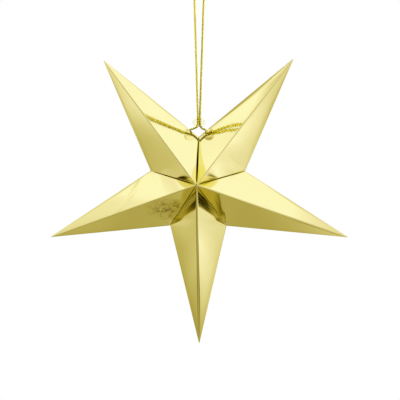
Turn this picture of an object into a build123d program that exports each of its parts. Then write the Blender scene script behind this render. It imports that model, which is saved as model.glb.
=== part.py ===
from build123d import *

import os
from math import atan2, cos, radians, sin, sqrt, tan

# A five-armed star of folded foil card, hung by a cord loop that passes through a bead.
# Sizes are in millimetres. X runs across the star, Y from its front to its back, Z up.
# The origin is the point inside the top of the loop that bears on the hook.

# Star
arm_count = 5
star_width = 300.0  # across the tips of the left and right arms
blunt_tip = 0.5  # length missing from the point of each arm
notch_radius = 50.0  # from the star's centre out to the notch between two arms
half_depth = 57.0  # from the star's flat outline to its front or back point
hang_drop = 200.0  # from the hook down to the star's centre
seam_gap = 1.6  # between the two top arms, which are tied and not glued

# Card
card = 0.4
fold_inner_radius = 0.2  # inside of two layers at an arm's front and back folds
bend_inner_radius = 5.2  # the same along an arm's sides, where the card only bends
flange_width = 6.0  # strip glued flat against the next arm's
flange_root = 1.1  # depth of card left above the relief beside the star's centre
centre_relief = 4.0  # length trimmed off each flange beside the star's centre
mitre_slit = 0.5  # between the front and back flanges, at a notch
lap_width = 8.0  # flap that closes an arm, inside its back fold
lap_start = 15.0  # from the star's centre to the lap's lower end
solid_tip = 5.0  # from an arm's tip back to its hollow, where the card's layers press together

# Cord, its holes and its knots
cord_diameter = 2.0
cord_hole_diameter = 4.0
hole_from_notch = 10.5  # along the outline, from the top notch to a hole's centre
knot_diameter = 5.2
knot_seat = 0.3  # between a knot and the card that it bears on
hook_diameter = 8.0
strand_clearance = 0.1  # beside each strand inside the bead, and between the two

# Bead
bead_width = 13.0
bead_height = 9.6
bead_crown = 10.8  # height of the oval that the bead's flat ends are cut from
bead_rim_radius = 0.7  # rounding at both ends of the bore
bead_above_notch = 11.0  # from the top notch up to the bead's underside
fork_below_bead = 0.8  # from the bead's underside down to where the strands part

half_pitch = 180 / arm_count
tip_radius = star_width / 2 / cos(radians(90 / arm_count))
point_radius = tip_radius + blunt_tip
notch_across = notch_radius * sin(radians(half_pitch))
notch_along = notch_radius * cos(radians(half_pitch))
star_centre = Vector(0, 0, -hang_drop)
fold_radius = fold_inner_radius + 2 * card
bend_radius = bend_inner_radius + 2 * card

# The four facets of an arm, drawn on past the star's centre line, cut it in a rhombus. Its
# corners stand out by what their rounding takes off, so the outline runs notch to tip.
outline_across = notch_across * point_radius / (point_radius - notch_along)
bend_half_angle = atan2(half_depth, outline_across)
root_across = outline_across + bend_radius * (1 / sin(bend_half_angle) - 1)
root_depth = half_depth + fold_radius * (1 / cos(bend_half_angle) - 1)
facet_slant = sqrt(1 / point_radius**2 + 1 / root_across**2 + 1 / root_depth**2)

# A hole's centre on the outline of an arm that points up, on its right side
edge_length = sqrt(notch_across**2 + (point_radius - notch_along) ** 2)
edge_across = -notch_across / edge_length
edge_along = (point_radius - notch_along) / edge_length
hole_across = notch_across + hole_from_notch * edge_across
hole_along = notch_along + hole_from_notch * edge_along


def arm_frame(turn):
    """The face-on frame of an arm turned clockwise from straight up: x across it, y to its tip."""
    across = (cos(radians(turn)), 0, -sin(radians(turn)))
    return Plane(origin=star_centre, x_dir=across, z_dir=(0, -1, 0))


def cross_frame(frame):
    """The plane through the star's centre that cuts an arm square across: x across, y back."""
    return Plane(origin=frame.origin, x_dir=frame.x_dir, z_dir=frame.y_dir)


def arm_block(frame, inset, left_gap, right_gap):
    """One arm as a solid block, with each of its faces moved in by the inset."""
    shrink = 1 - inset * facet_slant
    left = inset + left_gap
    right = inset + right_gap
    end = tip_radius - solid_tip if inset > 0 else tip_radius
    side_across = sin(radians(half_pitch))
    side_along = cos(radians(half_pitch))
    root = Vector((left - right) / 2 / side_along, (left + right) / 2 / side_across)
    reach = (end - root.Y) / side_along
    with BuildSketch(cross_frame(frame)) as facets:
        Polygon(
            (root_across * shrink, 0),
            (0, root_depth * shrink),
            (-root_across * shrink, 0),
            (0, -root_depth * shrink),
        )
        folds = facets.vertices().group_by(Axis.Y)
        fillet(folds[0] + folds[2], radius=fold_radius - inset)
        bends = facets.vertices().sort_by(Axis.X)
        fillet([bends[0], bends[-1]], radius=bend_radius - inset)
    with BuildPart() as block:
        point = frame.origin + frame.y_dir * point_radius * shrink
        loft([facets.sketch, Vertex(point)])
        with BuildSketch(frame):
            Polygon(
                (root.X, root.Y),
                (root.X + reach * side_across, root.Y + reach * side_along),
                (root.X - reach * side_across, root.Y + reach * side_along),
            )
        extrude(amount=root_depth, both=True, mode=Mode.INTERSECT)
    return block.part


def valley_depth(radius, inset=0.0):
    """How far the valley line beside a notch stands from the outline plane, less an inset."""
    slope = half_depth / notch_radius
    return half_depth - slope * radius - inset * sqrt(1 + slope**2)


def side_window(frame, side, gap):
    """What is cut from an arm's side wall, which leaves two flanges; side is 1 right, -1 left."""
    across = frame.x_dir * side
    radial = across * sin(radians(half_pitch)) + frame.y_dir * cos(radians(half_pitch))
    inward = frame.y_dir * sin(radians(half_pitch)) - across * cos(radians(half_pitch))
    flange_end = notch_radius * valley_depth(0, flange_width) / half_depth
    slit_end = notch_radius - 2 * flange_root
    with BuildPart() as window:
        with BuildSketch(Plane(origin=frame.origin + inward * gap, x_dir=radial, z_dir=inward)):
            with BuildLine():
                Polyline(
                    (0, valley_depth(0, flange_root)),
                    (centre_relief, valley_depth(centre_relief, flange_root)),
                    (centre_relief, valley_depth(centre_relief, flange_width)),
                    (flange_end, 0),
                    (centre_relief, -valley_depth(centre_relief, flange_width)),
                    (centre_relief, -valley_depth(centre_relief, flange_root)),
                    (0, -valley_depth(0, flange_root)),
                    close=True,
                )
            make_face()
            with Locations((slit_end, 0)):
                Rectangle(slit_end - centre_relief, mitre_slit, align=(Align.MAX, Align.CENTER))
        extrude(amount=2 * card)
    return window.part


def back_lap(frame, left_gap, right_gap):
    """The flap that closes an arm: a second layer inside its back fold, narrowing to the tip."""
    inner = arm_block(frame, card, left_gap, right_gap)
    core = arm_block(frame, 2 * card, left_gap, right_gap)
    with BuildPart() as lap:
        with BuildSketch(frame):
            Polygon(
                (0, lap_start),
                (lap_width, lap_start + lap_width),
                (0, point_radius),
            )
        extrude(amount=-root_depth)
        add(inner, mode=Mode.INTERSECT)
        add(core, mode=Mode.SUBTRACT)
    return lap.part


def make_arm(name, turn, left_gap=0.0, right_gap=0.0):
    """One arm folded from a sheet of card; a gap belongs to the side that is left unglued."""
    frame = arm_frame(turn)
    outer = arm_block(frame, 0, left_gap, right_gap)
    hollow = arm_block(frame, card, left_gap, right_gap)
    lap = back_lap(frame, left_gap, right_gap)
    with BuildPart() as arm:
        add(outer)
        add(hollow, mode=Mode.SUBTRACT)
        add(side_window(frame, -1, left_gap), mode=Mode.SUBTRACT)
        add(side_window(frame, 1, right_gap), mode=Mode.SUBTRACT)
        add(lap)
        for side, gap in ((-1, left_gap), (1, right_gap)):
            if gap > 0:
                outward = frame.x_dir * (side * edge_along) - frame.y_dir * edge_across
                centre = frame.from_local_coords(Vector(side * hole_across, hole_along))
                with BuildSketch(Plane(origin=centre, z_dir=outward)):
                    Circle(cord_hole_diameter / 2)
                extrude(amount=bend_radius, both=True, mode=Mode.SUBTRACT)
    arm.part.label = name
    export_step(arm.part, f"parts/{name}.step")
    return arm.part


def make_bead():
    """The clear bead, which slides down on both strands and draws the two top arms together."""
    bore_radius = cord_diameter + 1.5 * strand_clearance
    end_radius = bead_width / 2 * sqrt(1 - (bead_height / bead_crown) ** 2)
    rim_radius = min(bead_rim_radius, 0.9 * (end_radius - bore_radius))
    with BuildPart() as bead:
        with BuildSketch(Plane(origin=bead_centre, x_dir=(1, 0, 0), z_dir=(0, -1, 0))) as profile:
            Ellipse(bead_width / 2, bead_crown / 2)
            Rectangle(bead_width, bead_height, mode=Mode.INTERSECT)
            Rectangle(bore_radius, bead_width, align=(Align.MIN, Align.CENTER), mode=Mode.SUBTRACT)
            Rectangle(bead_width, bead_width, align=(Align.MAX, Align.CENTER), mode=Mode.SUBTRACT)
            rims = profile.vertices().group_by(Axis.X)[0]
            fillet(rims, radius=rim_radius)
        revolve(axis=Axis(bead_centre, (0, 0, 1)))
    bead.part.label = "bead"
    export_step(bead.part, "parts/bead.step")
    return bead.part


def corner_radius(before, corner, after):
    """The largest arc that two runs of a cord leave room for, at the point between them."""
    first = corner - before
    second = after - corner
    half_turn = radians(first.get_angle(second)) / 2
    return 0.45 * min(first.length, second.length) / tan(half_turn)


def make_cord():
    """The cord: a knot inside each top arm, two strands through the bead, and the loop."""
    left_half = [left_knot, left_hole, left_fork, left_bead_top, left_hook]
    right_half = [Vector(-p.X, -p.Y, p.Z) for p in reversed(left_half)]
    route_points = left_half + right_half
    radii = [corner_radius(*route_points[i - 1 : i + 2]) for i in range(1, len(route_points) - 1)]
    for i in (1, len(radii) - 2):
        radii[i] = fork_radius
    with BuildPart() as hanging_cord:
        with BuildLine():
            route = FilletPolyline(*route_points, radius=radii)
        with BuildSketch(Plane(origin=route @ 0, z_dir=route % 0)):
            Circle(cord_diameter / 2)
        sweep(path=route)
        tube_volume = hanging_cord.part.volume
        with Locations(route_points[0], route_points[-1]):
            Sphere(knot_diameter / 2)
    hanging_cord.part.label = "hanging_cord"
    export_step(hanging_cord.part, "parts/hanging_cord.step")
    section_area = Circle(cord_diameter / 2, mode=Mode.PRIVATE).area
    print(f"cord length {route.length:.1f} mm, corner radii {[round(r, 1) for r in radii]}")
    print(f"cord volume over section times length {tube_volume / section_area / route.length:.4f}")
    return hanging_cord.part


os.makedirs("parts", exist_ok=True)

# The holes of the two top arms lie either side of the top notch.
top_left_frame = arm_frame(-half_pitch)
left_hole = top_left_frame.from_local_coords(Vector(hole_across, hole_along))
into_arm = top_left_frame.y_dir * edge_across - top_left_frame.x_dir * edge_along
left_knot = left_hole + into_arm * (card + knot_seat + knot_diameter / 2)

# The bead stands over the notch, and the strands pass through it one behind the other.
top_notch = star_centre + Vector(0, 0, notch_radius)
bead_bottom = top_notch + Vector(0, 0, bead_above_notch)
bead_centre = bead_bottom + Vector(0, 0, bead_height / 2)
strand_offset = Vector(0, -(cord_diameter + strand_clearance) / 2, 0)
left_fork = bead_bottom + strand_offset - Vector(0, 0, fork_below_bead)
left_bead_top = bead_bottom + strand_offset + Vector(0, 0, bead_height + fork_below_bead)
fork_radius = bead_rim_radius + cord_diameter

# At the hook the strands lie a hook's width apart, and their arc goes over it.
left_hook = Vector(-(hook_diameter + cord_diameter) / 2, 0, cord_diameter / 2)

make_arm("arm_top_left", -half_pitch, right_gap=seam_gap / 2)
make_arm("arm_top_right", half_pitch, left_gap=seam_gap / 2)
make_arm("arm_right", 3 * half_pitch)
make_arm("arm_bottom", 5 * half_pitch)
make_arm("arm_left", -3 * half_pitch)
make_bead()
make_cord()
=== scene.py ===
from math import cos, exp, pi, radians, sin, sqrt

import bmesh
import bpy
from mathutils import Matrix, Vector, noise


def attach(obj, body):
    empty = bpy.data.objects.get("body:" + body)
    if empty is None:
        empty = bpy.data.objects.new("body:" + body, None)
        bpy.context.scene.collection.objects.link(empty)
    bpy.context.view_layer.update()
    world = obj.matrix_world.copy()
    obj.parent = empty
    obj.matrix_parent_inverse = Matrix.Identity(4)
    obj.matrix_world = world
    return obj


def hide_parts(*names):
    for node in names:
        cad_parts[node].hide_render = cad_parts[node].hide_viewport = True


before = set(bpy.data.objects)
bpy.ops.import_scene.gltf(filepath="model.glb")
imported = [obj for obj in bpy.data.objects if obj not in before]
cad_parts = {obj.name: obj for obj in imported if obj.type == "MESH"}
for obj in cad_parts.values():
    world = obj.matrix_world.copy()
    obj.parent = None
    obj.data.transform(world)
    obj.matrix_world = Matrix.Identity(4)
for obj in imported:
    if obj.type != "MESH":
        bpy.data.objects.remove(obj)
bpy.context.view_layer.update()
scene = bpy.context.scene


def add_object(name, data):
    thing = bpy.data.objects.new(name, data)
    scene.collection.objects.link(thing)
    return thing


def add_mesh(name, mesh):
    """A new object with the faces of a bmesh, which is then freed."""
    data = bpy.data.meshes.new(name)
    mesh.to_mesh(data)
    mesh.free()
    return add_object(name, data)


def evaluated_mesh(thing):
    """A new mesh of what an object's curve or modifiers make."""
    bpy.context.view_layer.update()
    depsgraph = bpy.context.evaluated_depsgraph_get()
    return bpy.data.meshes.new_from_object(thing.evaluated_get(depsgraph))


# Camera: slightly right of the star and below it, far off, with a long lens
camera_target = Vector((0.0014, 0, -0.2137))
camera_distance = 2.2
camera_azimuth = radians(2.1)
camera_elevation = radians(-1.3)
photo_width = 0.408
film_width = 36

camera_data = bpy.data.cameras.new("camera")
camera = add_object("camera", camera_data)
toward_camera = Vector((
    sin(camera_azimuth) * cos(camera_elevation),
    -cos(camera_azimuth) * cos(camera_elevation),
    sin(camera_elevation),
))
camera.location = camera_target + toward_camera * camera_distance
camera.rotation_euler = (-toward_camera).to_track_quat("-Z", "Y").to_euler()
camera_data.sensor_width = film_width
camera_data.lens = film_width * camera_distance / photo_width
scene.camera = camera

# Sizes of the star in metres, about its centre
star_centre = Vector((0, 0, -0.2))
half_depth = 0.057
card = 0.0004

# The cord's route, from the left arm's knot up through the bead and over the hook
cord_diameter = 0.002
ply_count = 3
lay_length = 0.0062
steps_per_lay = 14
left_route = [
    Vector((-0.01150, 0, -0.14430)),
    Vector((-0.00925, 0, -0.14170)),
    Vector((-0.00045, -0.00075, -0.1395)),
    Vector((-0.00075, -0.00020, -0.1286)),
    Vector((-0.00450, -0.0014, 0.001)),
]
right_route = [
    Vector((0.01030, 0, -0.14510)),
    Vector((0.00825, 0, -0.14250)),
    Vector((0.00105, 0.00075, -0.1395)),
    Vector((0.00135, 0.00020, -0.1286)),
    Vector((0.00550, 0.0014, 0.001)),
]
# The strands stay straight to within six diameters of the hook.
for half_route in (left_route, right_route):
    over_bead, beside_hook = half_route[3:]
    strand = beside_hook - over_bead
    near_hook = beside_hook - strand.normalized() * 6 * cord_diameter
    half_route.insert(4, near_hook)
route = left_route + right_route[::-1]


def read_route(points):
    """The points along a smooth spline that follows a cord's route."""
    curve = bpy.data.curves.new("route", "CURVE")
    curve.dimensions = "3D"
    spline = curve.splines.new("NURBS")
    spline.points.add(len(points) - 1)
    for point, place in zip(spline.points, points):
        point.co = (*place, 1)
    spline.order_u = 3
    spline.use_endpoint_u = True
    spline.resolution_u = 200
    holder = add_object("route", curve)
    mesh = evaluated_mesh(holder)
    line = [v.co.copy() for v in mesh.vertices]
    bpy.data.objects.remove(holder)
    bpy.data.meshes.remove(mesh)
    bpy.data.curves.remove(curve)
    return line


def evenly(line, step):
    """Points a step apart along a line, and its last point."""
    spaced = [line[0]]
    walked = 0.0
    target = step
    for a, b in zip(line, line[1:]):
        run = (b - a).length
        while run > 0 and walked + run >= target:
            spaced.append(a.lerp(b, (target - walked) / run))
            target += step
        walked += run
    spaced.append(line[-1])
    return spaced


def tube_frames(line):
    """Each point of a line, with two directions square to the line that never twist suddenly."""
    frames = []
    side = Vector((0, 1, 0))
    for i, point in enumerate(line):
        before, after = line[max(i - 1, 0)], line[min(i + 1, len(line) - 1)]
        tangent = (after - before).normalized()
        side = (side - tangent * side.dot(tangent)).normalized()
        frames.append((point, side, tangent.cross(side)))
    return frames


def add_tube(mesh, line, radius, sides, uv_layer):
    """Adds one closed tube along a line to a bmesh, its UVs the length in mm and the turn."""
    rings = []
    travelled = 0.0
    lengths = []
    for i, (point, side, other) in enumerate(tube_frames(line)):
        if i:
            travelled += (point - line[i - 1]).length
        lengths.append(travelled)
        ring = []
        for k in range(sides):
            angle = 2 * pi * k / sides
            outward = side * cos(angle) + other * sin(angle)
            ring.append(mesh.verts.new(point + radius * outward))
        rings.append(ring)
    for i in range(len(rings) - 1):
        for k in range(sides):
            after = (k + 1) % sides
            low, high = rings[i], rings[i + 1]
            face = mesh.faces.new((low[k], low[after], high[after], high[k]))
            face.smooth = True
            corners = ((i, k), (i, k + 1), (i + 1, k + 1), (i + 1, k))
            for loop, (row, turn) in zip(face.loops, corners):
                loop[uv_layer].uv = (lengths[row] * 1000, turn / sides)
    mesh.faces.new(list(reversed(rings[0])))
    mesh.faces.new(rings[-1])


def make_cord():
    """Three plies of metallic thread, laid up in a right-hand twist."""
    reach = 0.57 * cord_diameter
    ply_radius = reach / (1 + 2 / sqrt(3))
    ply_offset = reach - ply_radius
    core_radius = 0.7 * ply_radius
    centre = evenly(read_route(route), lay_length / steps_per_lay)
    mesh = bmesh.new()
    uv_layer = mesh.loops.layers.uv.new("along")
    for ply in range(ply_count):
        line = []
        for i, (point, side, other) in enumerate(tube_frames(centre)):
            angle = 2 * pi * (i / steps_per_lay + ply / ply_count)
            line.append(point + ply_offset * (side * cos(angle) + other * sin(angle)))
        add_tube(mesh, line, ply_radius, 10, uv_layer)
    add_tube(mesh, centre, core_radius, 8, uv_layer)
    return add_mesh("hanging_loop_cord", mesh), centre


def make_knot(name, place, turn):
    """An overhand knot drawn tight: a trefoil, whose line reaches 3 units from its middle."""
    reach = 0.0026
    tube = cord_diameter * 0.42
    scale = (reach - tube) / 3
    steps = 96
    spin = Matrix.Rotation(turn, 3, "Y")
    line = []
    for i in range(steps + 1):
        t = 2 * pi * i / steps
        knot = Vector((sin(t) + 2 * sin(2 * t), cos(t) - 2 * cos(2 * t), -1.6 * sin(3 * t)))
        line.append(place + spin @ (knot * scale))
    mesh = bmesh.new()
    uv_layer = mesh.loops.layers.uv.new("along")
    add_tube(mesh, line, tube, 12, uv_layer)
    return add_mesh(name, mesh)


cord, cord_line = make_cord()
knots = [
    make_knot("knot_left", route[0], radians(40)),
    make_knot("knot_right", route[-1], radians(-40)),
]


# Where the two outlines of each arm would meet, and the notches between the arms, in metres
# across and up from the star's centre
tips = {
    "top_left": (-0.0979, 0.1301),
    "top_right": (0.0972, 0.1310),
    "right": (0.1525, -0.0519),
    "bottom": (0.0006, -0.1604),
    "left": (-0.1520, -0.0516),
}
notches = {
    "top": (0.0, 0.0508),
    "right": (0.0474, 0.0158),
    "bottom_right": (0.0284, -0.0400),
    "bottom_left": (-0.0290, -0.0397),
    "left": (-0.0490, 0.0162),
}
arms = {
    "top_left": ("left", "top"),
    "top_right": ("top", "right"),
    "right": ("right", "bottom_right"),
    "bottom": ("bottom_right", "bottom_left"),
    "left": ("bottom_left", "left"),
}

notch_share = 0.2520  # how far along an arm's ridge its notches lie
blunt_share = 0.990  # where an arm ends, short of the point that its outlines aim at
fold_widths = {
    "top_left": 0.0006,
    "top_right": 0.0007,
    "right": 0.0010,
    "bottom": 0.0011,
    "left": 0.0007,
}
edge_round = 0.0006
glue_line = 0.00012  # half the gap between glued flanges
flange_depth = 0.0091
seam_half_gap = 0.0008
back_seam_half_gap = 0.0001
seam_end_share = 0.12  # how much of the seam's gap is left at its ends
holes = {"top_left": left_route[1], "top_right": right_route[1]}
hole_radius = 0.002
hole_sides = 20
hole_reach = 0.008  # keeps the cut to the arm's inner outline
least_rounding = 0.0009
widest_rounding = 0.45  # as a share of a facet's width
tip_point = 0.004  # how far the closing point stands past the blunt end, along the ridge
thin_share = 0.03  # the last part of the ridge, over which the card thins to its pressed tip
thinnest = 0.001  # as a share of the card's thickness

# Each valley's crown, forward of a straight line, and the half gap that opens beside the centre
valleys = {
    "top": (0.0012, 0.0),
    "right": (0.0026, 0.00022),
    "bottom_right": (0.0007, 0.0001),
    "bottom_left": (0.0005, 0.0001),
    "left": (0.0022, 0.0003),
}

# How much each facet bows across its width and towards its outline, and how much of it rounds
# over towards the outline at the notch and along the arm
facet_shapes = {
    ("top_left", "left"): (0.014, 0.06, 0.10, 0.30),
    ("top_left", "right"): (0.004, 0.14, 0.03, 0.25),
    ("top_right", "left"): (-0.014, 0.11, 0.12, 0.38),
    ("top_right", "right"): (0.025, 0.05, 0.10, 0.40),
    ("right", "left"): (0.006, 0.07, 0.04, 0.20),
    ("right", "right"): (0.006, 0.07, 0.04, 0.25),
    ("bottom", "left"): (0.025, 0.05, 0.02, 0.35),
    ("bottom", "right"): (0.025, 0.05, 0.02, 0.35),
    ("left", "left"): (0.006, 0.07, 0.04, 0.25),
    ("left", "right"): (0.006, 0.07, 0.04, 0.25),
}

# A soft crease across a facet: how far along the ridge it starts, how far along it reaches the
# outline, and its height. Its half width is a share of the ridge too.
soft_creases = {("left", "right"): (0.56, 0.30, 0.0004)}
soft_crease_width = 0.022


def smooth_step(value, start, end):
    """Rises gently from 0 to 1 as a value goes from start to end, and is held there."""
    value = min(max((value - start) / (end - start), 0.0), 1.0)
    return value * value * (3 - 2 * value)


def seam_gap(along, front):
    """Half the gap between the two top arms, from the star's centre out to the notch."""
    widest = seam_half_gap if front else back_seam_half_gap
    opened = sin(pi * min(along, 1.0) ** 0.8) ** 0.8
    return widest * (seam_end_share + (1 - seam_end_share) * opened)


def centre_gap(along):
    """The shape of the gap beside the centre, from its point outwards along a valley."""
    return smooth_step(along, 0, 0.12) * (1 - smooth_step(along, 0.8, 1))


def in_plane(pair):
    """A point of the star's middle plane, from its places across and up."""
    return Vector((pair[0], 0, pair[1]))


class Facet:
    """One facet's cut across an arm, at a share of the way along the arm's ridge.

    It runs from the ridge straight to where it starts to round over, then down to its foot,
    which is on the valley below the notch and on the arm's outline beyond it.
    """

    def __init__(self, name, side_name, share, front):
        tip = in_plane(tips[name])
        notch_name = arms[name][0 if side_name == "left" else 1]
        notch = in_plane(notches[notch_name])
        crown, gap = valleys[notch_name]
        bow, limb_bow, notch_round, limb_round = facet_shapes[name, side_name]
        self.depth = half_depth * (1 - share)
        self.ridge = tip * share
        away = tip - notch * tip.dot(notch) / notch.length_squared
        away.normalize()
        open_seam = notch_name == "top"
        if share < notch_share:
            # Beside a valley: the foot steps back from its middle, and a flange turns inwards
            along = share / notch_share
            foot = notch * along
            inset = seam_gap(along, front) if open_seam else glue_line
            if front:
                inset += gap * centre_gap(along)
            foot += away * inset * min(1, along * 10)
            rise = 4 * along * (1 - along) * smooth_step(along, 0.15, 0.5)
            edge_depth = half_depth * (1 - along) + crown * rise
            near_notch = smooth_step(along, 0.8, 1)
            self.corner = edge_depth + edge_round * near_notch
            self.end = edge_depth - edge_round * (1 - near_notch) * min(1, along * 6)
            flange = flange_depth if along > 0.08 else edge_round
            self.flange_end = min(max(edge_depth - flange, 0.0), self.end)
            limb = 0.0
        else:
            # Beyond the notch: the foot is on the arm's outline, where front and back meet
            along = (share - notch_share) / (1 - notch_share)
            foot = notch.lerp(tip, along)
            if open_seam:
                foot += away * seam_gap(1, front) * (1 - smooth_step(along, 0, 0.125))
            limb = smooth_step(along, 0, 0.55)
            self.corner = max(limb_bow * limb * self.depth, min(edge_round, 0.05 * self.depth))
            self.end = 0.0
            self.flange_end = 0.0
        self.foot = foot
        self.width = max((foot - self.ridge).length, 1e-9)
        rounding = notch_round + (limb_round - notch_round) * limb
        if share < notch_share:
            rounding *= smooth_step(along, 0.7, 1)
        rounding = min(widest_rounding, max(least_rounding / self.width, rounding))
        self.straight = 1 - rounding
        self.swell = bow * self.depth * smooth_step(share, 0.2, 0.42)
        self.fold = min(fold_widths[name], 0.25 * self.width) / self.width
        self.side = -1 if front else 1
        self.share = share
        self.crease = soft_creases.get((name, side_name)) if front else None

    def at(self, t):
        """The point a share of the way from the ridge, with the fold left sharp."""
        reach = min(t, self.straight)
        place = self.ridge.lerp(self.foot, reach)
        depth = self.depth + (self.corner - self.depth) * reach
        if t > self.straight:
            v = (t - self.straight) / (1 - self.straight)
            place = place * (1 - v) ** 2 + self.foot * (1 - (1 - v) ** 2)
            depth = depth * (1 - v) ** 2 + self.corner * 2 * v * (1 - v) + self.end * v * v
        across = (place - self.ridge).length / self.width
        depth += self.swell * 4 * across * (1 - across)
        if self.crease:
            start, end, rise = self.crease
            off = (self.share - start - (end - start) * across) / soft_crease_width
            depth += rise * exp(-off * off) * min(1, across * 8)
        return Vector((place.x, self.side * depth, place.z))

    def points(self):
        """Points from the fold's edge to the facet's far edge, then down the flange."""
        flat_steps, round_steps, flange_steps = 12, 14, 3
        first, last = self.fold * 1.45, self.straight
        steps = [self.fold, first]
        steps += [first + (last - first) * k / flat_steps for k in range(1, flat_steps + 1)]
        steps += [last + (1 - last) * k / round_steps for k in range(1, round_steps + 1)]
        side = [self.at(t) for t in steps]
        tail = Vector((self.foot.x, self.side * self.flange_end, self.foot.z))
        down = [side[-1].lerp(tail, k / flange_steps) for k in range(1, flange_steps + 1)]
        return side, down

    def peak(self):
        """The depth at which this facet, drawn on past the fold's edge, meets the ridge."""
        step = 0.1
        here, beyond = self.at(self.fold), self.at(self.fold * (1 + step))
        return here.y + (here.y - beyond.y) / step


def fold_arc(left, right, ridge, peak, count=8):
    """Points of a small fold between the first points of two facets, ends left out."""
    top = Vector((ridge.x, peak, ridge.z))
    shares = [k / count for k in range(1, count)]
    return [right * (1 - t) ** 2 + top * 2 * t * (1 - t) + left * t * t for t in shares]


def arm_ring(name, share):
    """The points round an arm's front and back halves, at a share of the way along its ridge."""
    ring = []
    for front in (True, False):
        right_facet = Facet(name, "right", share, front)
        left_facet = Facet(name, "left", share, front)
        right, right_tail = right_facet.points()
        left, left_tail = left_facet.points()
        peak = (left_facet.peak() + right_facet.peak()) / 2
        fold = fold_arc(left[0], right[0], right_facet.ridge, peak)
        half = right_tail[::-1] + right[::-1] + fold + left + left_tail
        ring.append(half if front else half[::-1])
    return ring


wide_height, wide_scale, wide_start = 0.00022, 14, Vector((3.1, 0.4, 7.7))
fine_height, fine_scale, fine_start = 0.00004, 42, Vector((9.2, 5.5, 1.3))
ripple_fade = 0.006  # the depth at which the ripple is full, as it dies out at the outline


def ripple(place):
    """The slight unevenness of hand-folded card, the same on the front and the back."""
    flat = Vector((place.x, 0, place.z))
    wide = wide_height * noise.noise(flat * wide_scale + wide_start)
    fine = fine_height * noise.noise(flat * fine_scale + fine_start)
    fade = min(1, abs(place.y) / ripple_fade)
    return (wide + fine) * fade * (1 if place.y > 0 else -1)


def make_arm(name):
    """One arm's folded sheet, its halves joined along its outline and open to the middle."""
    inner_rows, outer_rows = 22, 64
    outer_length = blunt_share - notch_share
    shares = [notch_share * (k / inner_rows) for k in range(inner_rows + 1)]
    for k in range(1, outer_rows + 1):
        shares.append(notch_share + outer_length * (k / outer_rows) ** 1.05)
    mesh = bmesh.new()
    known = {}
    thin = mesh.verts.layers.deform.new()

    def vertex(place, share):
        """The mesh's one vertex at a place; the card gets thinner as it nears the tip."""
        place = place.copy()
        place.y += ripple(place)
        key = tuple(round(c * 1e7) for c in place)
        if key not in known:
            known[key] = mesh.verts.new(place + star_centre)
            left = min(1, (1 - share) / thin_share)
            known[key][thin][0] = thinnest + (1 - thinnest) * left
        return known[key]

    rows = []
    for share in shares:
        rows.append([[vertex(p, share) for p in half] for half in arm_ring(name, share)])
    tip = vertex(in_plane(tips[name]) * (blunt_share + tip_point), 1)
    rows.append([[tip] * len(half) for half in rows[-1]])
    for half in range(2):
        for low, high in zip(rows, rows[1:]):
            for k in range(len(low[half]) - 1):
                corners = []
                for v in (low[half][k], high[half][k], high[half][k + 1], low[half][k + 1]):
                    if v not in corners:
                        corners.append(v)
                if len(corners) < 3 or mesh.faces.get(corners):
                    continue
                face = mesh.faces.new(corners)
                face.smooth = True
    bmesh.ops.recalc_face_normals(mesh, faces=mesh.faces)
    if name in holes:
        open_hole(mesh, name, holes[name])
    arm = add_mesh("arm_" + name + "_foil", mesh)
    arm.vertex_groups.new(name="thickness")
    thicken = arm.modifiers.new("card", "SOLIDIFY")
    thicken.thickness = card
    thicken.offset = -1
    thicken.use_rim = True
    thicken.vertex_group = "thickness"
    thicken.material_offset = 1
    thicken.material_offset_rim = 1
    return arm


def open_hole(mesh, name, hole):
    """Cuts the round hole that the cord passes through, across the outline of a top arm."""
    notch = in_plane(notches["top"])
    edge = (in_plane(tips[name]) - notch).normalized()
    across = Vector((0, 1, 0))

    def faces_within(limit):
        """The faces with their middles nearer than a limit to the hole's axis."""
        near = []
        for face in mesh.faces:
            offset = face.calc_center_median() - hole
            from_axis = Vector((0, offset.y, 0)) + edge * offset.dot(edge)
            if from_axis.length < limit and offset.length < hole_reach:
                near.append(face)
        return near

    clearly_inside = 0.995 * hole_radius
    for k in range(hole_sides):
        turn = 2 * pi * k / hole_sides
        outward = edge * cos(turn) + across * sin(turn)
        near = faces_within(3 * hole_radius)
        parts = set(near)
        for face in near:
            parts.update(face.edges)
            parts.update(face.verts)
        bmesh.ops.bisect_plane(
            mesh,
            geom=list(parts),
            dist=1e-6,
            plane_co=hole + outward * hole_radius,
            plane_no=outward,
        )
    bmesh.ops.delete(mesh, geom=faces_within(clearly_inside), context="FACES")


def apply_modifiers(thing):
    """Puts what an object's modifiers make in place of its mesh."""
    data = evaluated_mesh(thing)
    old = thing.data
    thing.modifiers.clear()
    thing.data = data
    bpy.data.meshes.remove(old)


# Materials
def new_material(name):
    material = bpy.data.materials.new(name)
    material.use_nodes = True
    return material, material.node_tree.nodes, material.node_tree.links


def feed(links, value, socket):
    """Sets a socket to a number, or joins it to another node's result."""
    if isinstance(value, (int, float)):
        socket.default_value = value
    else:
        links.new(value, socket)


def combine(nodes, links, operation, a, b, c=None):
    """One step of arithmetic on results or numbers."""
    step = nodes.new("ShaderNodeMath")
    step.operation = operation
    for socket, value in zip(step.inputs, (a, b, c)):
        if value is not None:
            feed(links, value, socket)
    return step.outputs[0]


def spread(nodes, links, value, source, target=(0, 1), smooth=False):
    """Carries a value from one range to another, and holds it at both ends."""
    step = nodes.new("ShaderNodeMapRange")
    if smooth:
        step.interpolation_type = "SMOOTHSTEP"
    step.inputs["From Min"].default_value, step.inputs["From Max"].default_value = source
    step.inputs["To Min"].default_value, step.inputs["To Max"].default_value = target
    links.new(value, step.inputs["Value"])
    return step.outputs["Result"]


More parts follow.
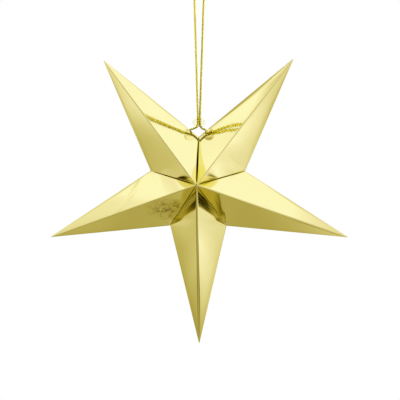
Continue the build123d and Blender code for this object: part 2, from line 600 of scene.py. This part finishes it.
def add_noise(nodes, links, vector, scale, detail, roughness=0.5):
    texture = nodes.new("ShaderNodeTexNoise")
    texture.inputs["Scale"].default_value = scale
    texture.inputs["Detail"].default_value = detail
    texture.inputs["Roughness"].default_value = roughness
    links.new(vector, texture.inputs["Vector"])
    return texture.outputs["Fac"]


def add_bump(nodes, links, height, strength, distance, under=None):
    """A bump's normal, on top of another bump's where there is one."""
    bump = nodes.new("ShaderNodeBump")
    bump.inputs["Distance"].default_value = distance
    feed(links, strength, bump.inputs["Strength"])
    links.new(height, bump.inputs["Height"])
    if under:
        links.new(under, bump.inputs["Normal"])
    return bump.outputs["Normal"]


def stretch(nodes, links, vector, axis, turn, scale):
    """Turned and scaled places, which draw a texture out in one direction."""
    mapping = nodes.new("ShaderNodeMapping")
    mapping.inputs["Rotation"].default_value["XYZ".index(axis)] = radians(turn)
    mapping.inputs["Scale"].default_value = scale
    links.new(vector, mapping.inputs["Vector"])
    return mapping.outputs["Vector"]


def add_ramp(nodes, links, source, stops):
    """A colour that follows a value through the given positions, each with its colour."""
    ramp = nodes.new("ShaderNodeValToRGB")
    elements = ramp.color_ramp.elements
    while len(elements) < len(stops):
        elements.new(0.5)
    for element, (position, colour) in zip(elements, stops):
        element.position = position
        element.color = (*colour, 1)
    links.new(source, ramp.inputs["Fac"])
    return ramp.outputs["Color"]


# The middle half of a noise, which holds most of its values
noise_range = (0.3, 0.7)

# The patch of wrinkled foil, darkened with painted shade: an oval, which ends at the valley
# below the left arm.
# It fades from one valley place to the other, measured along the direction across that valley.
shaded_patch_centre = (-0.0290, -0.03, -0.2240)
shaded_patch_sizes = (0.0290, 0.06, 0.0135)
valley_across = (-0.807, 0, 0.589)
valley_places = (-0.1175, -0.1145)
# The foil's own gold, and the near-black gold of the painted shade, which stands in for the
# wrinkled foil's dark reflections
foil_gold = (0.88, 0.80, 0.22)
painted_shade_gold = (0.24, 0.20, 0.03)


def wrinkle_and_painted_shade_share(nodes, links, place):
    """How much the foil is wrinkled and darkened with painted shade at a place, from 0 to 1."""
    oval = nodes.new("ShaderNodeMapping")
    oval.vector_type = "TEXTURE"
    oval.inputs["Location"].default_value = shaded_patch_centre
    oval.inputs["Scale"].default_value = shaded_patch_sizes
    links.new(place, oval.inputs["Vector"])
    away = nodes.new("ShaderNodeVectorMath")
    away.operation = "LENGTH"
    links.new(oval.outputs["Vector"], away.inputs[0])
    inside = spread(nodes, links, away.outputs["Value"], (0.2, 1), (1, 0), smooth=True)
    beside = nodes.new("ShaderNodeVectorMath")
    beside.operation = "DOT_PRODUCT"
    beside.inputs[1].default_value = valley_across
    links.new(place, beside.inputs[0])
    past_valley = spread(nodes, links, beside.outputs["Value"], valley_places, smooth=True)
    return combine(nodes, links, "MULTIPLY", inside, past_valley)


def make_foil():
    """Mirror foil with a cloudy polish and a fine grain, wrinkled in one patch and darkened
    there with painted shade.
    """
    material, nodes, links = new_material("gold_foil")
    shader = nodes["Principled BSDF"]
    shader.inputs["Metallic"].default_value = 1
    shader.inputs["Specular Tint"].default_value = (0.92, 0.86, 0.3, 1)
    shader.inputs["Coat Weight"].default_value = 0.15
    shader.inputs["Coat Roughness"].default_value = 0.03
    shader.inputs["Coat IOR"].default_value = 1.5
    place = nodes.new("ShaderNodeTexCoord").outputs["Object"]
    wrinkles_and_shade = wrinkle_and_painted_shade_share(nodes, links, place)

    clouds = add_noise(nodes, links, place, 70, 4)
    polish = spread(nodes, links, clouds, noise_range, (0.03, 0.07))
    links.new(polish, shader.inputs["Roughness"])

    # Painted shade: dark mottled streaks of near-black gold in the wrinkled patch, standing in
    # for the dark reflections of crumpled foil
    streaks = stretch(nodes, links, place, "Y", -12, (0.75, 1, 1.3))
    flecks = add_noise(nodes, links, streaks, 400, 6, 0.7)
    patches = add_noise(nodes, links, streaks, 110, 2)
    clumped = combine(nodes, links, "MULTIPLY", patches, 0.9)
    clumped = combine(nodes, links, "ADD", clumped, flecks)
    clumped = combine(nodes, links, "MULTIPLY", clumped, 0.54)
    shade_mottling = spread(nodes, links, clumped, (0.47, 0.62))
    painted_shade = combine(nodes, links, "MULTIPLY", shade_mottling, wrinkles_and_shade)
    tone = add_ramp(nodes, links, painted_shade, [(0, foil_gold), (1, painted_shade_gold)])
    links.new(tone, shader.inputs["Base Color"])

    grain = add_noise(nodes, links, place, 900, 3)
    grain_normal = add_bump(nodes, links, grain, 0.04, 0.0001)
    folds = stretch(nodes, links, place, "Y", -25, (0.55, 1, 1.6))
    creases = add_noise(nodes, links, folds, 190, 4, 0.65)
    normal = add_bump(nodes, links, creases, wrinkles_and_shade, 0.0022, grain_normal)
    links.new(normal, shader.inputs["Normal"])
    return material


def make_card():
    """White card, with the felted surface of paper fibres."""
    material, nodes, links = new_material("card_core")
    shader = nodes["Principled BSDF"]
    shader.inputs["Base Color"].default_value = (0.82, 0.80, 0.74, 1)
    place = nodes.new("ShaderNodeTexCoord").outputs["Object"]
    fibres = add_noise(nodes, links, place, 1800, 4)
    links.new(spread(nodes, links, fibres, noise_range, (0.72, 0.9)), shader.inputs["Roughness"])
    links.new(add_bump(nodes, links, fibres, 0.3, 0.0001), shader.inputs["Normal"])
    return material


def make_thread():
    """Metallic thread: fine strips of foil wound slantwise round each ply."""
    material, nodes, links = new_material("gold_thread")
    shader = nodes["Principled BSDF"]
    shader.inputs["Metallic"].default_value = 0.35
    along = nodes.new("ShaderNodeUVMap")
    along.uv_map = "along"
    strips = nodes.new("ShaderNodeTexWave")
    strips.inputs["Scale"].default_value = 1.6
    strips.inputs["Distortion"].default_value = 1.5
    strips.inputs["Detail"].default_value = 2
    wound = stretch(nodes, links, along.outputs["UV"], "Z", 50, (1, 1.4, 1))
    links.new(wound, strips.inputs["Vector"])
    stops = [(0, (0.34, 0.29, 0.015)), (1, (0.60, 0.54, 0.025))]
    colours = add_ramp(nodes, links, strips.outputs["Fac"], stops)
    links.new(colours, shader.inputs["Base Color"])
    wear = add_noise(nodes, links, along.outputs["UV"], 3, 4)
    links.new(spread(nodes, links, wear, noise_range, (0.22, 0.4)), shader.inputs["Roughness"])
    normal = add_bump(nodes, links, strips.outputs["Fac"], 0.5, 0.0001)
    links.new(normal, shader.inputs["Normal"])
    return material


def make_clear():
    """The bead's clear plastic, which hardly bends what is seen through it."""
    material, nodes, links = new_material("clear_plastic")
    shader = nodes["Principled BSDF"]
    shader.inputs["Base Color"].default_value = (0.94, 0.92, 0.70, 1)
    shader.inputs["Roughness"].default_value = 0.1
    shader.inputs["Specular IOR Level"].default_value = 0.25
    shader.inputs["Transmission Weight"].default_value = 1
    shader.inputs["IOR"].default_value = 1.08
    return material


foil = make_foil()
white_card = make_card()
thread = make_thread()
clear = make_clear()

for name in arms:
    arm = make_arm(name)
    arm.data.materials.append(foil)
    arm.data.materials.append(white_card)
    weighted = arm.modifiers.new("weighted normals", "WEIGHTED_NORMAL")
    weighted.weight = 60
    weighted.keep_sharp = False
    apply_modifiers(arm)
    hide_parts("arm_" + name)
    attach(arm, "root")


def make_bead():
    """A clear oval bead, flat at both ends of its bore."""
    centre = Vector((0.0003, 0, -0.1342))
    half_width = 0.0065
    half_height = 0.0048
    crown = 0.0054  # half the oval's height, had its ends not been cut flat
    bore = 0.00215
    rim = 0.0007
    side_steps, rim_steps, sides = 48, 12, 96
    outline = []
    for k in range(side_steps + 1):
        z = -half_height + 2 * half_height * k / side_steps
        outline.append((half_width * sqrt(1 - (z / crown) ** 2), z))
    quarter = [pi / 2 * k / rim_steps for k in range(rim_steps + 1)]
    for angle in quarter:
        outline.append((bore + rim - rim * sin(angle), half_height - rim + rim * cos(angle)))
    for angle in quarter:
        outline.append((bore + rim - rim * cos(angle), -half_height + rim - rim * sin(angle)))
    mesh = bmesh.new()
    rings = []
    for k in range(sides):
        angle = 2 * pi * k / sides
        ring = [Vector((r * cos(angle), r * sin(angle), z)) for r, z in outline]
        rings.append([mesh.verts.new(centre + point) for point in ring])
    for k in range(sides):
        here, there = rings[k], rings[(k + 1) % sides]
        for i in range(len(outline)):
            after = (i + 1) % len(outline)
            face = mesh.faces.new((here[i], there[i], there[after], here[after]))
            face.smooth = True
    bmesh.ops.remove_doubles(mesh, verts=mesh.verts, dist=1e-7)
    bmesh.ops.recalc_face_normals(mesh, faces=mesh.faces)
    return add_mesh("clear_bead", mesh)


bead = make_bead()
bead.data.materials.append(clear)
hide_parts("bead")
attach(bead, "root")

cord.data.materials.append(thread)
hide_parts("hanging_cord")
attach(cord, "root")
for knot in knots:
    knot.data.materials.append(thread)
    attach(knot, "root")


# Surroundings: a plain white floor far below, and a shaded studio round the star that only
# mirrors see. Directions are from the star's centre, each part from -1 to 1.
studio_radius = 1.0
studio_glow = 3.0
floor_glow = 0.62
soft_glow = 0.5
lamps = [
    ("key_lamp", (0.9, -1.6, 1.4), 1.2, 12),
    ("left_lamp", (-1.3, -0.2, 0.8), 0.8, 75),
    ("right_lamp", (1.3, -0.2, 0.8), 0.8, 75),
]

# The brightness of each part of the studio from front to back
side_depth = {
    "right": [
        (-1, 0.03), (-0.93, 0.05), (-0.86, 0.9), (-0.75, 1.3), (-0.4, 1.4), (-0.2, 0.7),
        (0.05, 0.6), (0.18, 1.0), (0.25, 1.08), (0.32, 1.0), (0.38, 0.90), (0.43, 0.81),
        (0.6, 0.78),
    ],
    "left": [
        (-1, 0.03), (-0.93, 0.05), (-0.86, 0.9), (-0.75, 1.3), (-0.4, 1.4), (-0.2, 0.7),
        (0.05, 0.6), (0.2, 1.05), (0.28, 1.1), (0.34, 1.0), (0.38, 0.94), (0.43, 0.85),
        (0.6, 0.76),
    ],
    "above_right": [
        (-1, 0.03), (-0.93, 0.05), (-0.8, 0.7), (-0.3, 0.9), (0.15, 1.0), (1, 1.0),
    ],
    "above_left": [
        (-1, 0.03), (-0.93, 0.05), (-0.8, 0.7), (-0.3, 0.9), (0.15, 1.0), (0.35, 1.0),
        (0.39, 0.96), (0.43, 0.86), (0.48, 0.78), (1, 0.75),
    ],
    "below": [
        (-1, 0.03), (-0.9, 0.1), (-0.7, 0.7), (-0.2, 0.8), (0.12, 0.75), (0.2, 0.82),
        (0.28, 1.05), (0.34, 1.0), (0.45, 0.97), (1, 0.95),
    ],
}

# Its rise and fall with height, or from left to right in the part below
side_height = {
    "right": [
        (-0.6, 0.35), (-0.45, 0.46), (-0.41, 0.56), (-0.39, 0.67), (-0.36, 0.83),
        (-0.33, 0.96), (-0.29, 1.03), (-0.25, 1.0), (-0.22, 0.95), (-0.2, 0.89),
        (-0.165, 0.8), (0, 0.76),
    ],
    "left": [
        (-0.6, 0.4), (-0.42, 0.47), (-0.38, 0.52), (-0.35, 0.58), (-0.32, 0.67),
        (-0.25, 0.69), (-0.23, 0.73), (-0.2, 0.84), (-0.17, 0.92), (-0.14, 0.87),
        (0, 0.82),
    ],
    "above_right": [
        (0.3, 0.7), (0.62, 0.83), (0.68, 0.9), (0.7, 0.95), (0.72, 1.02), (0.74, 1.1),
        (0.85, 1.11), (1, 1.05),
    ],
    "above_left": [
        (0, 0.75), (0.69, 0.9), (0.71, 0.95), (0.73, 0.99), (0.77, 1.01), (0.785, 1.05),
        (0.8, 1.11), (0.87, 1.11), (0.88, 1.02), (0.9, 0.78), (0.95, 0.7), (1, 0.75),
    ],
    "below": [
        (-0.3, 0.6), (-0.16, 0.53), (-0.12, 0.53), (-0.06, 0.49), (-0.02, 0.5),
        (0.01, 0.53), (0.04, 0.57), (0.07, 0.64), (0.09, 0.69), (0.3, 0.75),
    ],
}

# The dark bands beside the star: what is left of the light there from front to back, and how
# much each band counts at each height
dark_beside = {
    "right": [
        (-1, 0.5), (-0.5, 0.85), (-0.35, 0.6), (-0.2, 0.12), (-0.1, 0.03), (0.0, 0.03),
        (0.02, 0.05), (0.035, 0.3), (0.055, 1),
    ],
    "left": [
        (-1, 0.5), (-0.5, 0.85), (-0.35, 0.6), (-0.2, 0.12), (-0.1, 0.03), (0.2, 0.03),
        (0.22, 0.05), (0.235, 0.4), (0.255, 1),
    ],
}
dark_height = {
    "right": [(-0.425, 0), (-0.408, 1), (-0.37, 1), (-0.33, 0)],
    "left": [(-0.462, 0), (-0.45, 1), (-0.15, 1), (-0.1, 0)],
}

# A dim streak in the part below, to the right of the middle, from front to back
dark_below = [(0.2, 1), (0.235, 0.36), (0.268, 0.3), (0.29, 1)]

# Dim parts of the studio are warm, and bright ones white turning to blue.
brightest = 1.2
studio_colours = [
    (0, (0, 0, 0)),
    (0.2, (0.2, 0.165, 0.04)),
    (0.4, (0.4, 0.355, 0.18)),
    (0.55, (0.55, 0.505, 0.40)),
    (0.7, (0.7, 0.665, 0.72)),
    (0.85, (0.85, 0.83, 1.18)),
    (1.0, (1.0, 0.99, 1.68)),
    (1.05, (1.06, 1.06, 1.9)),
    (1.12, (1.14, 1.2, 2.35)),
    (1.2, (1.25, 1.35, 2.7)),
]


def curve_of(nodes, links, source, stops):
    """A brightness from 0 to 2 that follows one part of a direction."""
    place = spread(nodes, links, source, (-1, 1))
    halved = [((position + 1) / 2, (value / 2,) * 3) for position, value in stops]
    return combine(nodes, links, "MULTIPLY", add_ramp(nodes, links, place, halved), 2.0)


def blend(nodes, links, source, low, high, a, b):
    """Passes smoothly from one brightness to another as the source goes from low to high."""
    mix = nodes.new("ShaderNodeMix")
    share = spread(nodes, links, source, (low, high), smooth=True)
    links.new(share, mix.inputs["Factor"])
    links.new(a, mix.inputs["A"])
    links.new(b, mix.inputs["B"])
    return mix.outputs["Result"]


def studio_brightness(nodes, links, x, y, z):
    """The studio's brightness in a direction."""
    rise = combine(nodes, links, "SUBTRACT", z, 0.2)
    risen = combine(nodes, links, "MULTIPLY_ADD", y, 0.8, rise)
    heights = {"right": z, "left": z, "above_right": z, "above_left": risen, "below": x}
    level = {}
    for side in side_depth:
        depth = curve_of(nodes, links, y, side_depth[side])
        height = curve_of(nodes, links, heights[side], side_height[side])
        level[side] = combine(nodes, links, "MULTIPLY", depth, height)
    leaning = combine(nodes, links, "MULTIPLY_ADD", z, 0.5, y)
    for side, source in (("right", leaning), ("left", y)):
        shade = curve_of(nodes, links, source, dark_beside[side])
        in_dark = curve_of(nodes, links, z, dark_height[side])
        lost = combine(nodes, links, "SUBTRACT", 1.0, shade)
        lost = combine(nodes, links, "MULTIPLY", lost, in_dark)
        kept = combine(nodes, links, "SUBTRACT", 1.0, lost)
        level[side] = combine(nodes, links, "MULTIPLY", level[side], kept)
    streak = curve_of(nodes, links, y, dark_below)
    streak = combine(nodes, links, "MULTIPLY", level["below"], streak)
    below = blend(nodes, links, x, 0.01, 0.07, level["below"], streak)
    beside = blend(nodes, links, x, -0.3, 0.3, level["left"], level["right"])
    above = blend(nodes, links, x, -0.15, 0.15, level["above_left"], level["above_right"])
    middle = blend(nodes, links, z, 0.1, 0.35, beside, above)
    return blend(nodes, links, z, -0.8, -0.5, below, middle)


def make_studio():
    """A ball of light and shade round the star, for the foil to mirror."""
    mesh = bmesh.new()
    bmesh.ops.create_icosphere(mesh, subdivisions=5, radius=studio_radius)
    studio = add_mesh("studio", mesh)
    studio.location = star_centre
    material, nodes, links = new_material("studio")
    nodes.remove(nodes["Principled BSDF"])
    direction = nodes.new("ShaderNodeVectorMath")
    direction.operation = "NORMALIZE"
    links.new(nodes.new("ShaderNodeTexCoord").outputs["Object"], direction.inputs[0])
    split = nodes.new("ShaderNodeSeparateXYZ")
    links.new(direction.outputs["Vector"], split.inputs["Vector"])
    brightness = studio_brightness(nodes, links, *(split.outputs[axis] for axis in "XYZ"))
    stops = []
    for position, colour in studio_colours:
        stops.append((position / brightest, [c / studio_glow for c in colour]))
    level = combine(nodes, links, "DIVIDE", brightness, brightest)
    glow = nodes.new("ShaderNodeEmission")
    glow.inputs["Strength"].default_value = studio_glow
    links.new(add_ramp(nodes, links, level, stops), glow.inputs["Color"])

    # What is seen straight through the bead is the white background, not the studio.
    rays = nodes.new("ShaderNodeLightPath").outputs
    mirrored = combine(nodes, links, "MINIMUM", rays["Glossy Depth"], 1.0)
    unmirrored = combine(nodes, links, "SUBTRACT", 1.0, mirrored)
    seen_through = combine(nodes, links, "MULTIPLY", rays["Is Transmission Ray"], unmirrored)
    clear_view = nodes.new("ShaderNodeBsdfTransparent")
    mix = nodes.new("ShaderNodeMixShader")
    links.new(seen_through, mix.inputs["Fac"])
    links.new(glow.outputs["Emission"], mix.inputs[1])
    links.new(clear_view.outputs["BSDF"], mix.inputs[2])
    links.new(mix.outputs["Shader"], nodes["Material Output"].inputs["Surface"])
    studio.data.materials.append(material)
    studio.visible_camera = False
    studio.visible_diffuse = False
    studio.visible_shadow = False
    studio.visible_volume_scatter = False


def make_floor():
    """A wide pale floor, which looks white to the camera and through the bead."""
    mesh = bmesh.new()
    bmesh.ops.create_grid(mesh, x_segments=1, y_segments=1, size=10)
    floor = add_mesh("floor", mesh)
    floor.location = (0, 0, -1.4)
    floor.visible_glossy = False
    material, nodes, links = new_material("floor")
    shader = nodes["Principled BSDF"]
    shader.inputs["Base Color"].default_value = (0.9, 0.9, 0.9, 1)
    shader.inputs["Roughness"].default_value = 0.9
    shader.inputs["Specular IOR Level"].default_value = 0
    shader.inputs["Emission Color"].default_value = (1, 1, 1, 1)
    rays = nodes.new("ShaderNodeLightPath").outputs
    seen = combine(nodes, links, "MAXIMUM", rays["Is Camera Ray"], rays["Is Transmission Ray"])
    glow = combine(nodes, links, "MULTIPLY", seen, floor_glow)
    links.new(glow, shader.inputs["Emission Strength"])
    floor.data.materials.append(material)


def make_lamp(name, place, size, power):
    """A round lamp turned to the star, which the foil doesn't mirror."""
    data = bpy.data.lights.new(name, "AREA")
    data.shape = "DISK"
    data.size = size
    data.energy = power
    lamp = add_object(name, data)
    lamp.location = place
    lamp.rotation_euler = (star_centre - Vector(place)).to_track_quat("-Z", "Y").to_euler()
    lamp.visible_glossy = False


def make_world():
    """White where it is seen, mirrored or seen through, and a soft light everywhere else."""
    world = bpy.data.worlds.new("world")
    world.use_nodes = True
    scene.world = world
    nodes, links = world.node_tree.nodes, world.node_tree.links
    rays = nodes.new("ShaderNodeLightPath").outputs
    seen = combine(nodes, links, "MAXIMUM", rays["Is Camera Ray"], rays["Is Glossy Ray"])
    seen = combine(nodes, links, "MAXIMUM", seen, rays["Is Transmission Ray"])
    white = nodes["Background"]
    white.inputs["Color"].default_value = (1, 1, 1, 1)
    white.inputs["Strength"].default_value = 1
    soft = nodes.new("ShaderNodeBackground")
    soft.inputs["Color"].default_value = (1, 1, 1, 1)
    soft.inputs["Strength"].default_value = soft_glow
    mix = nodes.new("ShaderNodeMixShader")
    links.new(seen, mix.inputs["Fac"])
    links.new(soft.outputs["Background"], mix.inputs[1])
    links.new(white.outputs["Background"], mix.inputs[2])
    links.new(mix.outputs["Shader"], nodes["World Output"].inputs["Surface"])


make_studio()
make_floor()
make_world()
for lamp in lamps:
    make_lamp(*lamp)
scene.view_settings.view_transform = "Standard"
